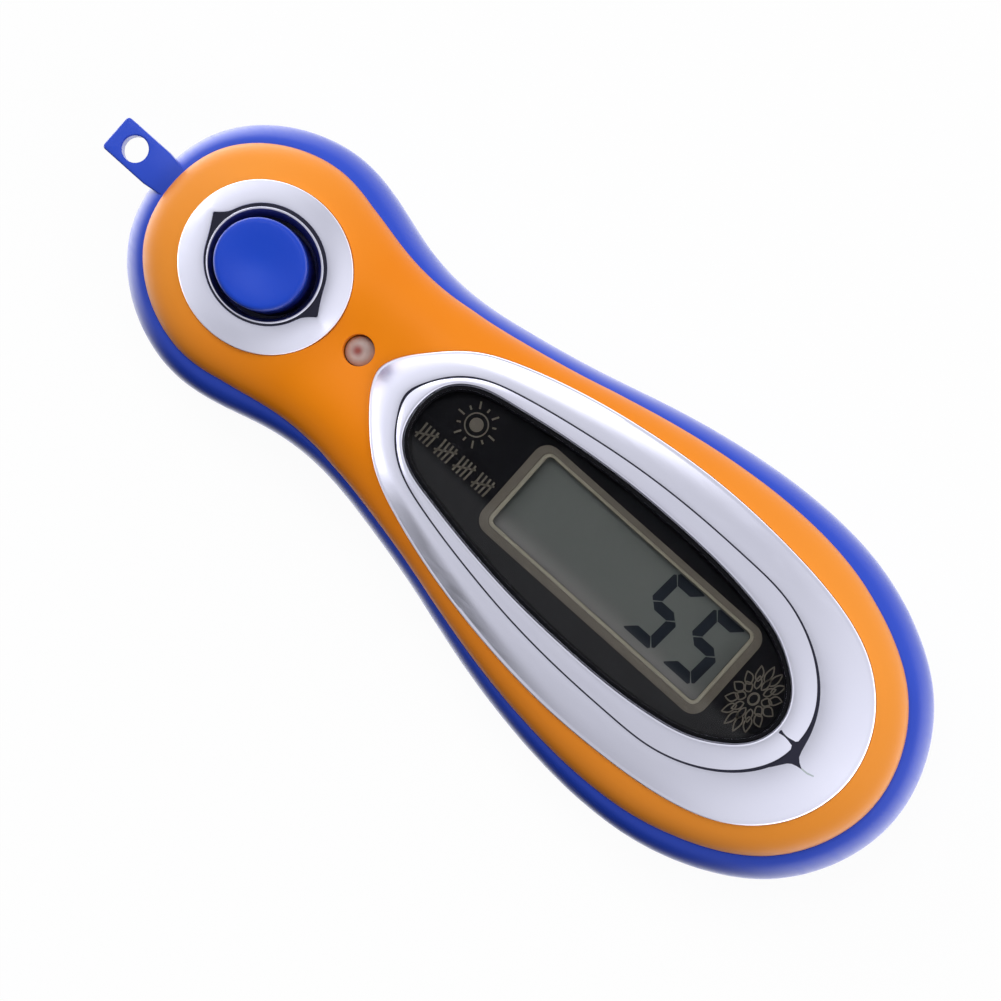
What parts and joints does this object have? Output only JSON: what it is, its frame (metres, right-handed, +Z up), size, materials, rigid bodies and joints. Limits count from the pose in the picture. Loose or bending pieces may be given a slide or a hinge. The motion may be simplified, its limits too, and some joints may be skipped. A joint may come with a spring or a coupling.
{
  "type": "digital tally counter",
  "caption": "Hand-held digital tally counter: push button in a bright ring, neck light, teardrop display window in a bezel, domed front shell, deep rear shell with a lanyard tab.",
  "frame": {"origin": "middle of the whole length and width, on the flat underside that the counter rests on", "axes": "+X from the lanyard tab and the button to the tail with the display, +Y towards the tops of the digits, +Z up out of the display"},
  "size_m": [0.0904, 0.033, 0.0172],
  "materials": {
    "orange_plastic": "satin gloss moulded orange",
    "blue_plastic": "satin gloss moulded cobalt blue",
    "bright_plating": "bright plated plastic, slightly satin",
    "clear_plastic": "clear polished acrylic",
    "black_print": "black print on the back of the lens, with a gold frame and marks",
    "display_glass": "thin display glass, dark digits",
    "display_film": "grey polarising film",
    "reflector_film": "satin silver-green film",
    "silicone": "matte pale silicone",
    "connector_rubber": "matte dark rubber with fine bands",
    "white_plastic": "matte white moulding",
    "board_laminate": "green solder mask",
    "black_epoxy": "satin black epoxy drop",
    "plated_steel": "nickel-plated steel",
    "dark_plastic": "matte black plastic"
  },
  "bodies": {
    "housing": {"rear_shell": "blue_plastic", "front_shell": "orange_plastic", "button_ring": "bright_plating", "button_dome": "silicone", "led_body": "clear_plastic", "led_lead_anode": "plated_steel", "led_lead_cathode": "plated_steel", "window_bezel": "bright_plating", "window_lens": "clear_plastic", "window_mask": "black_print", "display_front_film": "display_film", "display_front_glass": "display_glass", "display_rear_glass": "display_glass", "display_reflector": "reflector_film", "display_tray": "white_plastic", "connector_strip": "connector_rubber", "circuit_board": "board_laminate", "counter_chip": "black_epoxy", "coin_cell": "plated_steel", "cell_leaf_contact": "plated_steel", "cell_clip_contact": "plated_steel", "case_screw_head": "plated_steel", "case_screw_tail": "plated_steel", "case_screw_neck_left": "plated_steel", "case_screw_neck_right": "plated_steel", "reset_switch": "dark_plastic"},
    "count_button": {"count_button": "blue_plastic"},
    "battery_door": {"battery_door": "blue_plastic"},
    "reset_button": {"reset_button": "blue_plastic", "reset_plunger": "dark_plastic"}
  },
  "joints": [
    {"name": "count_press", "type": "slide", "parent": "housing", "child": "count_button", "axis": [0, 0, -1], "range_m": [0, 0.001], "stiffness_N_per_m": 1200, "deforming": ["button_dome"]},
    {"name": "door_turn", "type": "hinge", "parent": "housing", "child": "battery_door", "pos_m": [0.02102, 0, 0], "axis": [0, 0, -1], "range_deg": [0, 45]},
    {"name": "reset_press", "type": "slide", "parent": "housing", "child": "reset_button", "axis": [0, 0, 1], "range_m": [0, 0.0003], "stiffness_N_per_m": 2000}
  ]
}
